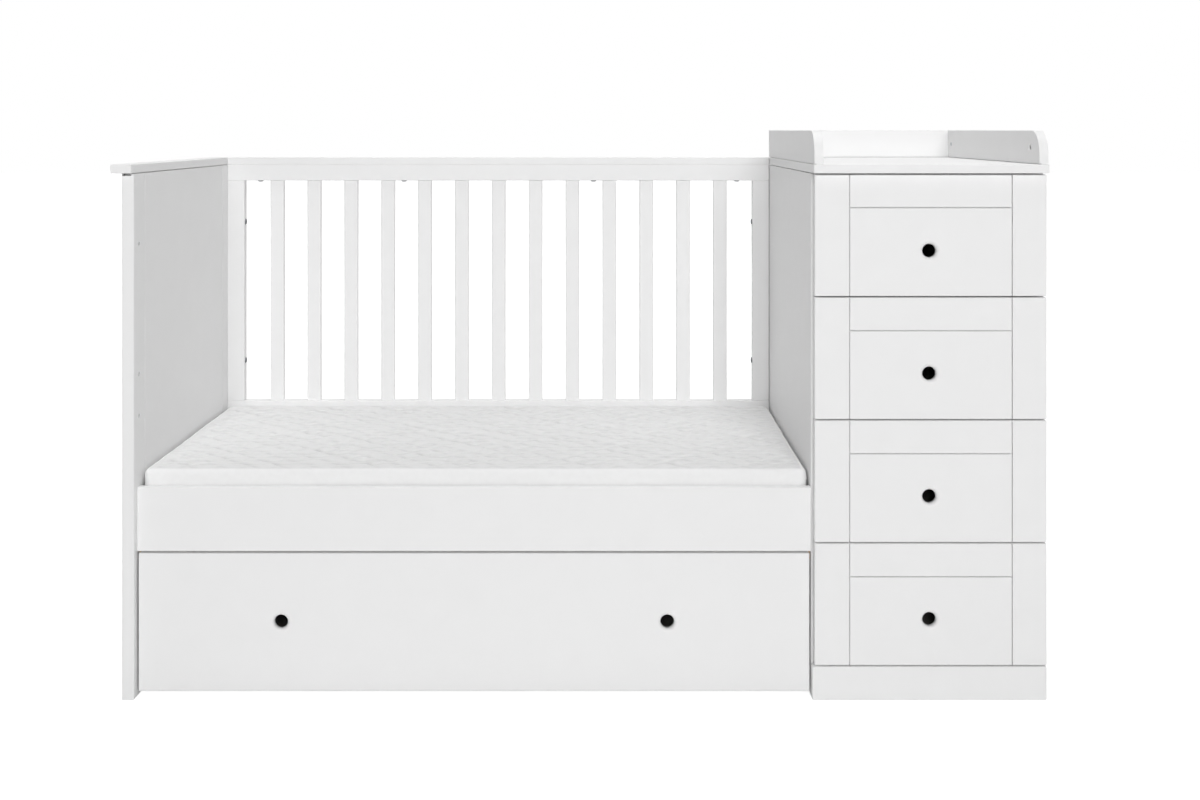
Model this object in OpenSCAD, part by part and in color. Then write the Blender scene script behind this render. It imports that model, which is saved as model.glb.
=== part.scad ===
// Toddler bed made from a crib, with a chest of four drawers and a changing tray joined to its right end,
// and a wide drawer on castors under the mattress.
// X runs along the bed from the end panel to the chest, Y from the front to the back, and Z up.
// The origin is on the floor, under the middle of the whole object. Lengths are in millimetres.

/* [Mattress] */
// Length of the mattress
mattress_l = 1200; // [1000:10:1400]
// Width of the mattress
mattress_w = 600; // [520:10:700]
// Thickness of the mattress at its rim
mattress_t = 112; // [70:1:140]
// How much the middle of the mattress stands above its rim
mattress_crown = 2; // [0:0.5:12]
// Corner radius of the mattress, seen from above
mattress_corner_r = 16; // [10:1:70]
// Radius of the rounded upper and lower edges of the mattress
mattress_edge_r = 8; // [6:1:30]
// How far the sides of the mattress draw in between its corners
mattress_draw = 1; // [0:0.5:8]

/* [Bed] */
// Air between the mattress and the panels at its two ends
end_gap = 5; // [2:0.5:20]
// Air between the mattress and the boards at its front and back
side_gap = 2; // [1:0.5:15]
// Thickness of the end panel
panel_t = 22; // [16:1:30]
// Height of the panels and the chest under their top boards
frame_h = 940; // [850:5:1100]
// Thickness of the top caps and of the chest's top board
top_t = 16; // [12:1:25]
// How far the tops stand out at the front, and the end cap at its side
top_over = 15; // [5:1:30]
// How far the front board and the wide drawer lie behind the front edge of the end panel
front_recess = 16; // [5:1:40]
// Thickness of the front board and of all the drawer fronts
board_t = 18; // [14:1:22]
// Height of the front board
board_h = 114; // [90:1:160]
// Height of the front board's lower edge above the floor
board_z = 261; // [240:1:300]
// Height of the base slats' upper face, on which the mattress lies
base_z = 290; // [285:1:320]
// Width of the chamfer on the edges of the lacquered boards
edge_c = 1.2; // [0.5:0.1:2]
// Height of the dark lines under the end cap, the chest's top board and the tray's rim
line_h = 1.2; // [0.8:0.1:3]
// Depth of the dark lines under the end cap and the chest's top board
line_d = 6; // [2:0.5:8]
// Height of the notch under the end cap in the front edge of the end panel
notch_h = 5; // [2:0.5:10]
// Depth of the notch under the end cap
notch_d = 12; // [6:1:20]
// Wood left between the notch and the inner face of the end panel
notch_wall = 5; // [4:0.5:8]
// Wood left between the notch and the outer face of the end panel
notch_lip = 1.5; // [1:0.5:4]
// Width of the V-grooves in the inner face of the end panel
panel_groove_w = 4; // [2:0.5:8]

/* [Rear frame] */
// Thickness of the rear frame
frame_t = 22; // [18:1:30]
// Height of the top rail
top_rail_h = 36; // [30:1:60]
// Height of the rear board's upper edge above the floor
rear_board_top = 413; // [405:1:450]
// Height of the rear board's lower edge above the floor
rear_board_z = 60; // [20:1:200]
// Width of the upright stiles
stile_w = 38; // [30:1:60]
// Number of bars
bar_n = 13; // [8:1:16]
// Width of a bar
bar_w = 31; // [24:1:36]
// Thickness of a bar
bar_t = 12; // [10:1:16]
// Gap between a stile and the bar next to it
bar_end_gap = 56.5; // [45:0.5:64]
// Length of the tongue at each end of a bar
tenon_l = 12; // [8:1:20]
// Shoulder round the tongue of a bar
tenon_shoulder = 2.5; // [1.5:0.5:4]
// Clearance round the tongue of a bar in its socket
tenon_clear = 0.1; // [0.05:0.05:0.3]
// Width of the dark line between the rear frame and the chest
frame_line_w = 2; // [1:0.5:4]
// Depth of the dark line between the rear frame and the chest
frame_line_d = 7; // [3:0.5:8]

/* [Bed base] */
// Width of the two long base beams
beam_w = 30; // [20:1:45]
// Height of the two long base beams
beam_h = 36; // [25:1:40]
// Number of base slats
slat_n = 12; // [8:1:14]
// Width of a base slat
slat_w = 58; // [40:1:70]
// Thickness of a base slat
slat_t = 12; // [8:1:16]

/* [Chest] */
// Width of the chest
chest_w = 418; // [360:1:520]
// Thickness of the chest's sides and bottom
side_t = 16; // [14:1:22]
// Height of the plinth
plinth_h = 60; // [50:1:100]
// Gap between two drawer fronts
front_gap = 2.5; // [1.5:0.5:4]
// Air between a closed drawer front and the edge of the chest's side
front_air = 2; // [1:0.5:4]
// How far a drawer front stays inside the outer face of the chest's left side
front_reveal_left = 4; // [0.5:0.5:8]
// How far a drawer front stays inside the outer face of the chest's right side
front_reveal_right = 0; // [0:0.5:4]
// Thickness of the chest's back panel
back_t = 4; // [3:1:8]
// How far the back panel lies inside the rear edges of the sides
back_inset = 8; // [4:1:15]

/* [Drawers] */
// Length of a drawer box of the chest
drawer_l = 500; // [400:10:560]
// Height of a drawer box of the chest
drawer_h = 150; // [110:1:160]
// Height of a drawer box above the lower edge of its front
drawer_lift = 26; // [18:1:35]
// Thickness of the drawer boxes' sides and backs
box_t = 12; // [10:1:16]
// Thickness of the drawer bottoms
bottom_t = 5; // [3:1:8]
// Width of the runner between a drawer box and the chest's side
runner_t = 12.7; // [10:0.1:15]
// Height of the runner
runner_h = 45; // [35:1:50]
// Thickness of the steel of the runner's channel
runner_wall = 1.5; // [1:0.1:2.5]
// Running clearance inside the runner
runner_clear = 0.3; // [0.2:0.05:0.6]
// Diameter of the finger holes
hole_d = 24; // [20:1:34]
// Radius of the rounded rim of the finger holes
hole_round = 7; // [2:0.5:8]
// Radius of the rounded rear edge of the finger holes
hole_round_back = 8; // [2:0.5:8]
// Height of a finger hole above the lower edge of its drawer front
hole_up = 81; // [60:1:110]
// Distance from a drawer front's side edges to its upright grooves
groove_in = 62; // [45:1:80]
// Distance from a drawer front's upper edge to its level groove
groove_top_in = 59; // [45:1:80]
// Width of the grooves in the drawer fronts
groove_w = 2.2; // [1.5:0.1:4]
// Depth of the grooves in the drawer fronts
groove_depth = 6; // [2:0.5:8]

/* [Wide drawer] */
// Air between the wide drawer's front and the floor
floor_gap = 10; // [4:1:15]
// Air between the wide drawer's front and the front board above it
under_gap = 3.5; // [2:0.5:8]
// Air between the wide drawer's front and the panels at its ends
under_end_gap = 3; // [2:0.5:8]
// Distance from the wide drawer's ends to its finger holes
under_hole_in = 255; // [150:5:350]
// Height of the wide drawer's box
under_box_h = 150; // [100:1:160]
// Height of the wide drawer's box above the floor
under_box_z = 46; // [44:1:60]
// Distance from the wide drawer front's ends to its box
under_box_in = 22; // [12:1:60]
// Distance from the wide drawer's box to the rear edge of the end panel
under_back_gap = 30; // [15:1:80]
// Thickness of the wide drawer's box
under_box_t = 16; // [12:1:18]
// Radius of a castor wheel
wheel_r = 20; // [15:1:20]
// Width of a castor wheel
wheel_w = 18; // [12:1:24]
// Radius of the castor pins
pin_r = 3; // [2:0.5:4]
// Running clearance round the castor pins
pin_clear = 0.08; // [0.05:0.01:0.1]
// Distance from the box's corner to the middle of a castor wheel
wheel_in = 80; // [50:5:150]

/* [Changing tray] */
// Height of the rim above the chest's top board
rim_h = 60; // [40:1:120]
// Thickness of the rim
rim_t = 16; // [12:1:22]
// Radius of the rounded front corners of the rim's sides
rim_r = 44; // [20:1:55]
// How far the rim stands back from the edges of the top board
rim_inset = 1.5; // [0:0.5:10]
// Depth of the dark lines under the rim
rim_line_d = 4; // [2:0.5:5]

/* [Fittings] */
// Diameter of the screws' shanks
screw_d = 4; // [3:0.5:5]
// Diameter of the screws' heads
screw_head_d = 13; // [8:0.5:16]
// Height of the screws' heads
screw_head_t = 2.6; // [1:0.1:5]
// Clearance round the screws' shanks
screw_clear = 0.2; // [0.1:0.05:0.4]
// Depth of a screw in the board that it holds
screw_bite = 10; // [6:1:11]
// Diameter of the spare holes for the removable front side
spare_hole_d = 8; // [4:0.5:10]
// Distance of the spare holes behind the front face of the front board
spare_in = 12.5; // [9:0.5:30]
// Depth of the spare holes
spare_hole_depth = 12; // [8:1:13]
// Distance of the upper screws and spare holes below the rear top rail
fix_down = 92; // [60:1:140]
// Height of the middle spare holes above the floor
fix_z_mid = 577; // [540:1:620]
// Height of the lower screws and spare holes above the floor
fix_z_low = 502; // [460:1:530]
// Distance from the rear frame's ends to the outer cap screws
cap_screw_out = 72; // [60:1:80]
// How far the inner cap screws lie outwards from the middle between two bars
cap_screw_shift = 5.75; // [0:0.25:8]
// Diameter of the covers of the fittings in the tray's rim
rim_fit_d = 8; // [5:0.5:12]
// Distance from the tray's back rim to the fitting of the rim's side
rim_fit_rear = 27; // [10:1:60]
// Diameter of the open fixing hole near the front of the rim's sides
rim_hole_d = 10; // [5:0.5:12]
// Depth of the fixing hole
rim_hole_depth = 9; // [5:0.5:10]
// Distance from the front edge of the chest's side to the fixing hole
rim_hole_in = 20; // [10:1:60]

/* [Hidden] */
$fn = 48;
drawer_n = 4;
over_cut = 1; // how far a cutting shape runs past the face that it cuts
rest_gap = 0.3; // air that keeps the soft mattress clear of the boards
lacquer = [0.93, 0.93, 0.93];
steel = [0.62, 0.63, 0.64];

// The bed and the whole object
bed_l = mattress_l + 2 * end_gap;
body_w = panel_t + bed_l + chest_w;
body_d = front_recess + board_t + 2 * side_gap + mattress_w + frame_t;
x_end = (top_over - body_w) / 2; // outer face of the end panel
x_bed0 = x_end + panel_t; // inner face of the end panel
x_bed1 = x_bed0 + bed_l; // left face of the chest
x_right = x_bed1 + chest_w;
x_bed_mid = (x_bed0 + x_bed1) / 2;
y_front = (top_over - body_d) / 2;
y_back = y_front + body_d;
y_board = y_front + front_recess; // front face of the front board and the wide drawer
y_frame = y_back - frame_t; // front face of the rear frame
y_frame_mid = y_back - frame_t / 2;
y_spare = y_board + spare_in; // spare holes

// Rear frame
top_rail_z = frame_h - top_rail_h;
bar_l = top_rail_z - rear_board_top;
tenon_w = bar_w - 2 * tenon_shoulder;
tenon_t = bar_t - 2 * tenon_shoulder;
bar_pitch = (bed_l - 2 * (stile_w + bar_end_gap) - bar_w) / (bar_n - 1);
bar_x = [for (i = [0 : bar_n - 1]) x_bed_mid + (i - (bar_n - 1) / 2) * bar_pitch];

// Bed base
beam_z = base_z - slat_t - beam_h;
y_base0 = y_board + board_t;
base_d = y_frame - y_base0;
slat_pitch = (bed_l - slat_w) / (slat_n - 1);

// Chest
y_side = y_front + board_t + front_air; // front edges of the chest's sides
chest_in_w = chest_w - 2 * side_t;
front_h = (frame_h - plinth_h - (drawer_n + 1) * front_gap) / drawer_n;
box_w = chest_in_w - 2 * runner_t;
x_box = x_bed1 + side_t + runner_t;
y_box = y_front + board_t; // where a drawer box meets its front
runner_z = (drawer_h - runner_h) / 2; // height of the runner above the box's lower edge
channel_depth = runner_t - runner_clear - 2; // leaves 2 mm more air beside the drawer box
front_w = chest_w - front_reveal_left - front_reveal_right;
function front_z(i) = plinth_h + front_gap + (drawer_n - i) * (front_h + front_gap);
function box_z(i) = front_z(i) + drawer_lift;

// Wide drawer
under_front_w = bed_l - 2 * under_end_gap;
under_front_h = board_z - under_gap - floor_gap;
under_box_w = under_front_w - 2 * under_box_in;
x_under = x_bed0 + under_end_gap;
x_under_box = x_under + under_box_in;
y_under_box = y_board + board_t;
under_box_l = y_back - under_back_gap - y_under_box;
cheek_t = 2.5;
cheek_gap = 1;
plate_t = 2.5;
plate_x = wheel_w + 2 * (cheek_gap + cheek_t);
plate_y = 2 * wheel_r + 10;
wheel_at = [for (fy = [0, 1], fx = [0, 1]) [
  x_under_box + (fx == 0 ? wheel_in : under_box_w - wheel_in),
  y_under_box + (fy == 0 ? wheel_in : under_box_l - wheel_in)
]];

// Screws
fix_z_high = top_rail_z - fix_down;
stile_screw_l = stile_w + screw_bite;
cap_screw_l = top_rail_h + screw_bite;
cap_screw_bay = 4; // the inner cap screws lie after this bar, counted from each end
cap_screw_in = bar_x[cap_screw_bay - 1] + bar_pitch / 2 - cap_screw_shift - x_bed0;
cap_screw_x = [
  x_bed0 + cap_screw_out, x_bed0 + cap_screw_in, x_bed1 - cap_screw_in, x_bed1 - cap_screw_out
];
rim_fit_y = y_back - rim_t - rim_fit_rear;
rim_fit_z = frame_h + top_t + rim_h / 2;
rim_fit_t = 1; // how far a fitting's cover stands out of the rim

CASTORS = ["front_left", "front_right", "rear_left", "rear_right"];
PIECES = ["front", "sides", "back", "bottom", "runners"];

// Shapes that several pieces share

// Outline of a board's section with its four corners chamfered
module chamfered(w, h, c) {
  polygon([[c, 0], [w - c, 0], [w, c], [w, h - c], [w - c, h], [c, h], [0, h - c], [0, c]]);
}

// Board with all its edges chamfered, from its lowest corner
module board(size, c = edge_c) {
  intersection() {
    linear_extrude(size.z) chamfered(size.x, size.y, c);
    translate([0, size.y, 0]) rotate([90, 0, 0]) linear_extrude(size.y) chamfered(size.x, size.z, c);
    rotate([90, 0, 90]) linear_extrude(size.x) chamfered(size.y, size.z, c);
  }
}

// Cutter along Z that cuts a groove with a narrow flat bottom into a face that looks along -Y
module groove_cutter(l) {
  w = groove_w;
  d = groove_depth;
  linear_extrude(l) polygon([
    [-w / 2, -over_cut], [w / 2, -over_cut], [w / 2, d - w / 3], [w / 6, d], [-w / 6, d], [-w / 2, d - w / 3]
  ]);
}

// V-shaped cutter along Z for a groove in the inner face of the end panel, which looks along +X
module panel_groove_cutter(l) {
  w = panel_groove_w;
  linear_extrude(l) polygon([[-w / 2, 0], [w / 2, -w], [w / 2, w]]);
}

// Cutter that rounds the rim of a finger hole whose board begins at z = 0
module rim_rounder(r) {
  bore_r = hole_d / 2;
  rotate_extrude() difference() {
    translate([0, -over_cut]) square([bore_r + r, r + over_cut]);
    translate([bore_r + r, r]) circle(r = r, $fn = 32);
    translate([bore_r + r, -2 * over_cut]) square([over_cut, r + 2 * over_cut]);
  }
}

// Cutter of a finger hole through a front board whose face is at y = 0: the bore and its rounded rims
module finger_hole_cutter() {
  rotate([-90, 0, 0]) {
    translate([0, 0, -over_cut]) cylinder(h = board_t + 2 * over_cut, d = hole_d);
    rim_rounder(hole_round);
    translate([0, 0, board_t]) mirror([0, 0, 1]) rim_rounder(hole_round_back);
  }
}

// Cutter of a dark line at the height z, from x0 to x1, along the whole depth of the object
module line_cutter(x0, x1, z) {
  translate([x0, y_front - top_over - over_cut, z])
    cube([x1 - x0, body_d + top_over + 2 * over_cut, line_h + over_cut]);
}

// Cutter of the dark upright line between the rear frame and the chest
module frame_line_cutter() {
  translate([x_bed1 - frame_line_w, y_frame - over_cut, 0])
    cube([frame_line_w + over_cut, frame_line_d + over_cut, frame_h + top_t + over_cut]);
}

// Screw along Z with its shank's foot at z = 0 and its domed head above length l
module screw(l) {
  cylinder(h = l, d = screw_d);
  translate([0, 0, l]) cylinder(h = screw_head_t / 2, d = screw_head_d);
  translate([0, 0, l + screw_head_t / 2])
    cylinder(h = screw_head_t / 2, d1 = screw_head_d, d2 = screw_head_d * 0.6);
}

// Spare holes for the removable front side, drilled along +X from x = 0
module spare_holes() {
  for (z = [fix_z_high, fix_z_mid, fix_z_low])
    translate([0, y_spare, z]) rotate([0, 90, 0])
      cylinder(h = spare_hole_depth + over_cut, d = spare_hole_d);
}

// Holes for the stile screws, drilled along +X from x = 0
module stile_screw_holes(depth) {
  for (z = [fix_z_high, fix_z_low])
    translate([0, y_frame_mid, z]) rotate([0, 90, 0])
      cylinder(h = depth, d = screw_d + 2 * screw_clear);
}

// Bed

module end_panel() {
  color(lacquer) difference() {
    translate([x_end, y_front, 0]) board([panel_t, body_d, frame_h]);
    translate([x_bed0 - spare_hole_depth, 0, 0]) spare_holes();
    translate([x_bed0 - screw_bite, 0, 0]) stile_screw_holes(screw_bite + over_cut);
    for (y = [y_front + groove_in, y_back - groove_in])
      translate([x_bed0, y, -over_cut]) panel_groove_cutter(frame_h + 2 * over_cut);
    line_cutter(x_bed0 - line_d, x_bed0 + over_cut, frame_h - line_h);
    translate([x_end + notch_lip, y_front - over_cut, frame_h - notch_h])
      cube([panel_t - notch_lip - notch_wall, notch_d + over_cut, notch_h + over_cut]);
  }
}

module end_cap() {
  color(lacquer) translate([x_end - top_over, y_front - top_over, frame_h])
    board([panel_t + top_over, body_d + top_over, top_t]);
}

module rear_cap() {
  color(lacquer) difference() {
    translate([x_bed0, y_frame, frame_h]) board([bed_l, frame_t, top_t]);
    cap_screw_holes(frame_h - over_cut, screw_bite + over_cut);
    frame_line_cutter();
  }
}

module cap_screw_holes(z, h) {
  for (x = cap_screw_x)
    translate([x, y_frame_mid, z]) cylinder(h = h, d = screw_d + 2 * screw_clear);
}

// Sockets for the bars' tongues, cut upwards from z
module bar_sockets(z) {
  for (x = bar_x)
    translate([
      x - tenon_w / 2 - tenon_clear, y_frame_mid - tenon_t / 2 - tenon_clear, z
    ]) cube([tenon_w + 2 * tenon_clear, tenon_t + 2 * tenon_clear, tenon_l + over_cut + tenon_clear]);
}

module rear_top_rail() {
  color(lacquer) difference() {
    translate([x_bed0, y_frame, top_rail_z]) board([bed_l, frame_t, top_rail_h]);
    bar_sockets(top_rail_z - over_cut);
    cap_screw_holes(top_rail_z - over_cut, top_rail_h + 2 * over_cut);
    frame_line_cutter();
  }
}

module rear_board() {
  color(lacquer) difference() {
    translate([x_bed0, y_frame, rear_board_z])
      board([bed_l, frame_t, rear_board_top - rear_board_z]);
    bar_sockets(rear_board_top - tenon_l - tenon_clear);
    frame_line_cutter();
  }
}

module rear_stile(x) {
  color(lacquer) difference() {
    translate([x, y_frame, rear_board_top]) board([stile_w, frame_t, bar_l]);
    translate([x - over_cut, 0, 0]) stile_screw_holes(stile_w + 2 * over_cut);
    frame_line_cutter();
  }
}

module rear_bars() {
  color(lacquer) for (x = bar_x) {
    translate([x - bar_w / 2, y_frame_mid - bar_t / 2, rear_board_top])
      linear_extrude(bar_l) chamfered(bar_w, bar_t, edge_c * 1.5);
    translate([x - tenon_w / 2, y_frame_mid - tenon_t / 2, rear_board_top - tenon_l])
      cube([tenon_w, tenon_t, bar_l + 2 * tenon_l]);
  }
}

module front_board() {
  color(lacquer) translate([x_bed0, y_board, board_z]) board([bed_l, board_t, board_h]);
}

module base_beam(y) {
  color([0.80, 0.70, 0.54]) translate([x_bed0, y, beam_z]) cube([bed_l, beam_w, beam_h]);
}

module base_slats() {
  color([0.86, 0.77, 0.61]) for (i = [0 : slat_n - 1])
    translate([x_bed0 + i * slat_pitch, y_base0, base_z - slat_t])
      rotate([90, 0, 90]) linear_extrude(slat_w) chamfered(base_d, slat_t, edge_c);
}

// Mattress: rings of points from the middle of its underside, round its rolled edges, to its crowned top.
// Each ring is the plan outline, drawn in by an inset, at its own height.
edge_steps = 4;
crown_rings = [0.22, 0.42, 0.62, 0.82, 0.97];
long_steps = 8;
short_steps = 5;
corner_steps = 5;
mattress_hl = mattress_l / 2;
mattress_hw = mattress_w / 2;
crown_inset = mattress_hw - mattress_edge_r;
foot_inset = mattress_edge_r + 60; // inner ring of the flat underside

// One side of the outline with the corner after it; the side has half length a and lies b from the middle
function outline_side(a, b, r, steps) = concat(
  [for (k = [0 : steps - 1]) let (u = k / steps)
    [(a - r) * (1 - 2 * u), b - mattress_draw * sin(180 * u)]],
  [for (k = [0 : corner_steps - 1]) let (q = 90 + 90 * k / corner_steps)
    [-(a - r) + r * cos(q), (b - r) + r * sin(q)]]
);
function turned(pts, q) = [for (p = pts) [p.x * cos(q) - p.y * sin(q), p.x * sin(q) + p.y * cos(q)]];
function outline(inset) = let (
  a = mattress_hl - inset, b = mattress_hw - inset, r = max(mattress_corner_r - inset, 2)
) concat(
  outline_side(a, b, r, long_steps),
  turned(outline_side(b, a, r, short_steps), 90),
  turned(outline_side(a, b, r, long_steps), 180),
  turned(outline_side(b, a, r, short_steps), 270)
);
ring_specs = concat(
  [[foot_inset, 0]],
  [for (k = [0 : edge_steps]) let (q = 90 * k / edge_steps)
    [mattress_edge_r * (1 - sin(q)), mattress_edge_r * (1 - cos(q))]],
  [for (k = [0 : edge_steps]) let (q = 90 * k / edge_steps)
    [mattress_edge_r * (1 - cos(q)), mattress_t - mattress_edge_r * (1 - sin(q))]],
  [for (u = crown_rings)
    [mattress_edge_r + u * crown_inset, mattress_t + mattress_crown * (1 - pow(1 - u, 2))]]
);
ring_n = 2 * (long_steps + short_steps) + 4 * corner_steps;
last_ring = (len(ring_specs) - 1) * ring_n;
mattress_points = concat(
  [for (s = ring_specs) let (h = outline(s[0])) for (p = h) [p.x, p.y, s[1]]],
  [[0, 0, 0], [0, 0, mattress_t + mattress_crown]]
);
foot = len(ring_specs) * ring_n;
mattress_faces = concat(
  [for (r = [0 : len(ring_specs) - 2], k = [0 : ring_n - 1], half = [0, 1])
    let (a = r * ring_n + k, b = r * ring_n + (k + 1) % ring_n)
    half == 0 ? [a, a + ring_n, b] : [b, a + ring_n, b + ring_n]],
  [for (k = [0 : ring_n - 1]) [k, (k + 1) % ring_n, foot]],
  [for (k = [0 : ring_n - 1]) [last_ring + (k + 1) % ring_n, last_ring + k, foot + 1]]
);

module mattress() {
  color([0.95, 0.95, 0.95])
    translate([x_bed_mid, y_base0 + side_gap + mattress_hw, base_z + rest_gap])
      polyhedron(mattress_points, mattress_faces);
}

// Chest

module chest_side(x) {
  translate([x, y_side, 0]) board([side_t, y_back - y_side, frame_h]);
}

module chest_left_side() {
  color(lacquer) difference() {
    chest_side(x_bed1);
    translate([x_bed1 - over_cut, 0, 0]) {
      spare_holes();
      stile_screw_holes(screw_bite + over_cut);
    }
    line_cutter(x_bed1 - over_cut, x_bed1 + line_d, frame_h - line_h);
  }
}

module chest_right_side() {
  color(lacquer) difference() {
    chest_side(x_right - side_t);
    line_cutter(x_right - line_d, x_right + over_cut, frame_h - line_h);
  }
}

module chest_back() {
  color(lacquer) translate([x_bed1 + side_t, y_back - back_inset - back_t, plinth_h])
    cube([chest_in_w, back_t, frame_h - plinth_h]);
}

module chest_bottom() {
  color(lacquer) translate([x_bed1 + side_t, y_side, plinth_h])
    cube([chest_in_w, y_back - back_inset - back_t - y_side, side_t]);
}

module chest_plinth() {
  color(lacquer) translate([x_bed1, y_front, 0]) board([chest_w, y_side - y_front, plinth_h]);
}

module chest_top() {
  color(lacquer) translate([x_bed1, y_front - top_over, frame_h])
    board([chest_w, body_d + top_over, top_t]);
}

// Side of the tray's rim with its front upper corner rounded. Its fixing hole is cut along +X from hole_x.
module tray_side_rim(x, hole_x) {
  l = body_d + top_over - rim_inset;
  color(lacquer) difference() {
    translate([x, y_front - top_over + rim_inset, frame_h + top_t])
      rotate([90, 0, 90]) linear_extrude(rim_t) difference() {
        square([l, rim_h]);
        difference() {
          translate([-over_cut, rim_h - rim_r]) square([rim_r + over_cut, rim_r + over_cut]);
          translate([rim_r, rim_h - rim_r]) circle(r = rim_r, $fn = 96);
        }
      }
    line_cutter(x - over_cut, x + rim_line_d, frame_h + top_t - over_cut);
    line_cutter(x + rim_t - rim_line_d, x + rim_t + over_cut, frame_h + top_t - over_cut);
    translate([hole_x, y_side + rim_hole_in, rim_fit_z]) rotate([0, 90, 0])
      cylinder(h = rim_hole_depth + over_cut, d = rim_hole_d);
  }
}

module tray_left_rim() {
  tray_side_rim(x_bed1 + rim_inset, x_bed1 + rim_inset + rim_t - rim_hole_depth);
}

module tray_right_rim() {
  tray_side_rim(x_right - rim_inset - rim_t, x_right - rim_inset - rim_t - over_cut);
}

module tray_back_rim() {
  color(lacquer) translate([x_bed1 + rim_inset + rim_t, y_back - rim_t, frame_h + top_t]) difference() {
    cube([chest_w - 2 * (rim_inset + rim_t), rim_t, rim_h]);
    translate([-over_cut, -over_cut, -over_cut]) cube([chest_w, rim_line_d + over_cut, line_h + over_cut]);
  }
}

// Channel of a runner against a side whose face is at x = 0, open towards +X
module runner_channel(l) {
  rotate([-90, 0, 0]) mirror([0, 1, 0]) linear_extrude(l) difference() {
    square([channel_depth, runner_h]);
    translate([runner_wall, runner_wall]) square([runner_t, runner_h - 2 * runner_wall]);
  }
}

module chest_left_runners() {
  color(steel) for (i = [1 : drawer_n])
    translate([x_bed1 + side_t, y_side, box_z(i) + runner_z]) runner_channel(drawer_l);
}

module chest_right_runners() {
  color(steel) for (i = [1 : drawer_n])
    translate([x_right - side_t, y_side, box_z(i) + runner_z]) mirror([1, 0, 0])
      runner_channel(drawer_l);
}

// Drawers of the chest, counted from the top

module drawer_front(i) {
  color(lacquer) translate([x_bed1 + front_reveal_left, y_front, front_z(i)]) difference() {
    board([front_w, board_t, front_h]);
    translate([chest_w / 2 - front_reveal_left, 0, hole_up]) finger_hole_cutter();
    for (x = [groove_in, front_w - groove_in])
      translate([x, 0, -over_cut]) groove_cutter(front_h + 2 * over_cut);
    translate([groove_in, 0, front_h - groove_top_in]) rotate([0, 90, 0])
      groove_cutter(front_w - 2 * groove_in);
  }
}

module drawer_sides(i) {
  color(lacquer) for (x = [x_box, x_box + box_w - box_t])
    translate([x, y_box, box_z(i)]) cube([box_t, drawer_l, drawer_h]);
}

module drawer_back(i) {
  color(lacquer) translate([x_box + box_t, y_box + drawer_l - box_t, box_z(i)])
    cube([box_w - 2 * box_t, box_t, drawer_h]);
}

module drawer_bottom(i) {
  color(lacquer) translate([x_box + box_t, y_box, box_z(i)])
    cube([box_w - 2 * box_t, drawer_l - box_t, bottom_t]);
}

// Inner members of the runners, which are screwed to the drawer box and slide in the channels
module drawer_runners(i) {
  w = runner_t - runner_wall - runner_clear;
  h = runner_h - 2 * (runner_wall + runner_clear);
  color(steel) for (x = [x_box - w, x_box + box_w])
    translate([x, y_side, box_z(i) + runner_z + runner_wall + runner_clear])
      cube([w, drawer_l - front_air, h]);
}

// Wide drawer

module wide_drawer_front() {
  color(lacquer) translate([x_under, y_board, floor_gap]) difference() {
    board([under_front_w, board_t, under_front_h]);
    for (x = [under_hole_in, under_front_w - under_hole_in])
      translate([x, 0, under_front_h / 2]) finger_hole_cutter();
  }
}

module wide_drawer_side(x) {
  color(lacquer) translate([x, y_under_box, under_box_z])
    cube([under_box_t, under_box_l, under_box_h]);
}

module wide_drawer_back() {
  color(lacquer)
    translate([x_under_box + under_box_t, y_under_box + under_box_l - under_box_t, under_box_z])
      cube([under_box_w - 2 * under_box_t, under_box_t, under_box_h]);
}

module wide_drawer_bottom() {
  color(lacquer) translate([x_under_box + under_box_t, y_under_box, under_box_z])
    cube([under_box_w - 2 * under_box_t, under_box_l - under_box_t, bottom_t]);
}

// Bracket of a fixed castor: a plate under the drawer's bottom, two cheeks and the pin between them
module castor_bracket(k) {
  color(steel) translate([wheel_at[k].x, wheel_at[k].y, 0]) {
    translate([-plate_x / 2, -plate_y / 2, under_box_z - plate_t]) cube([plate_x, plate_y, plate_t]);
    for (x = [-plate_x / 2, plate_x / 2 - cheek_t])
      translate([x, 0, 0]) {
        translate([0, -wheel_r / 2, wheel_r])
          cube([cheek_t, wheel_r, under_box_z - plate_t / 2 - wheel_r]);
        translate([0, 0, wheel_r]) rotate([0, 90, 0]) cylinder(h = cheek_t, r = wheel_r / 2);
      }
    translate([-plate_x / 2, 0, wheel_r]) rotate([0, 90, 0]) cylinder(h = plate_x, r = pin_r);
  }
}

// Wheel of a castor, turned about X, with a chamfered tread and a dished face round its hub
module castor_wheel(k) {
  tread_c = 2;
  dish = 2;
  hub_r = pin_r + 3.5;
  color([0.25, 0.25, 0.26]) translate([wheel_at[k].x, wheel_at[k].y, wheel_r]) rotate([0, 90, 0])
    rotate_extrude($fn = 96) polygon([
      [pin_r + pin_clear, -wheel_w / 2], [hub_r, -wheel_w / 2],
      [hub_r + dish, -wheel_w / 2 + dish], [wheel_r - tread_c - dish, -wheel_w / 2 + dish],
      [wheel_r - tread_c, -wheel_w / 2], [wheel_r, -wheel_w / 2 + tread_c],
      [wheel_r, wheel_w / 2 - tread_c], [wheel_r - tread_c, wheel_w / 2],
      [wheel_r - tread_c - dish, wheel_w / 2 - dish], [hub_r + dish, wheel_w / 2 - dish],
      [hub_r, wheel_w / 2], [pin_r + pin_clear, wheel_w / 2]
    ]);
}

// Fittings

// Screws through the stiles into the end panel and the chest
module stile_screws() {
  color(steel) for (z = [fix_z_high, fix_z_low]) {
    translate([x_bed0 - screw_bite, y_frame_mid, z]) rotate([0, 90, 0]) screw(stile_screw_l);
    translate([x_bed1 + screw_bite, y_frame_mid, z]) rotate([0, -90, 0]) screw(stile_screw_l);
  }
}

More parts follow.
